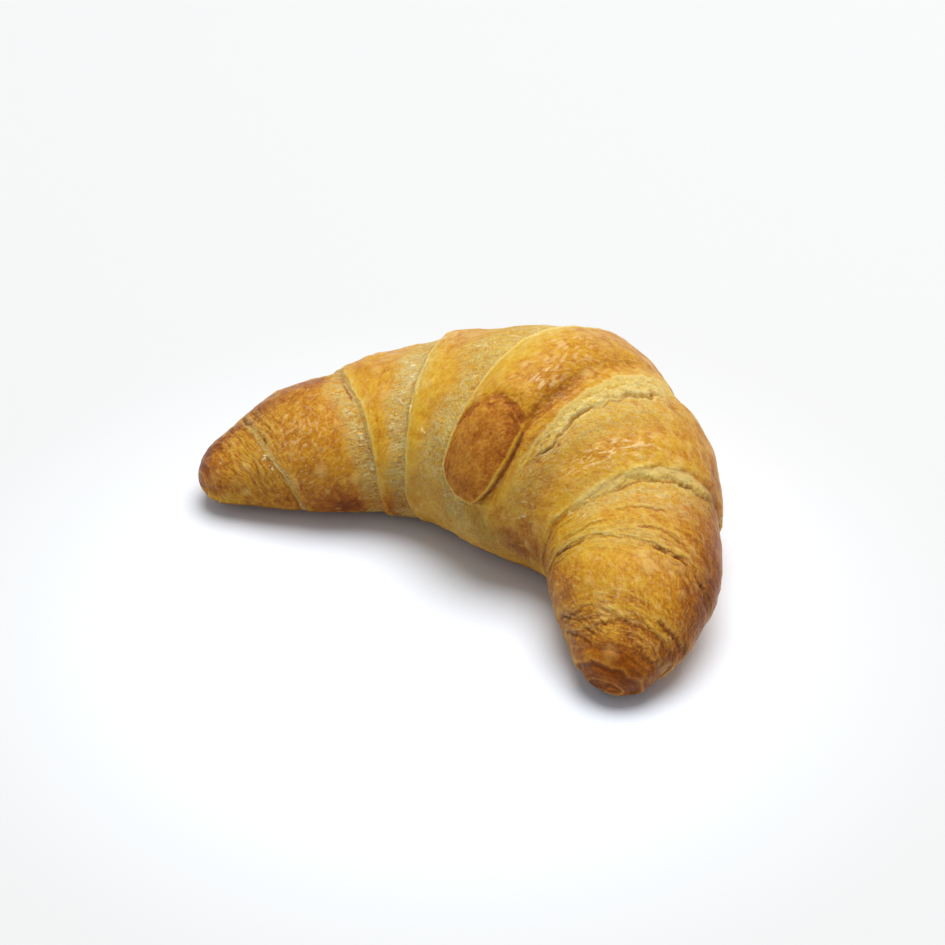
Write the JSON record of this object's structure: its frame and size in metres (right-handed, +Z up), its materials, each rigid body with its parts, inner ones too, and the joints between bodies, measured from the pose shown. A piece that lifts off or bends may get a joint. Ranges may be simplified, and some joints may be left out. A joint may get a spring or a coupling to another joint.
{
  "type": "croissant",
  "caption": "Baked butter croissant: a bent crescent of rolled laminated dough with overlapping layers, a tucked tongue, two tapering horns and a flat underside.",
  "frame": {"origin": "on the resting surface, under the middle of the body's bounding box", "axes": "+Z up from the flat underside; X across from horn to horn; -Y is the side the horns point to"},
  "size_m": [0.141, 0.085, 0.0544],
  "materials": {
    "baked_dough": "egg-washed golden-brown crust, softly glossy on the ridges, matte pale dough in the seams"
  },
  "bodies": {
    "root": {"croissant": "baked_dough"}
  },
  "joints": []
}
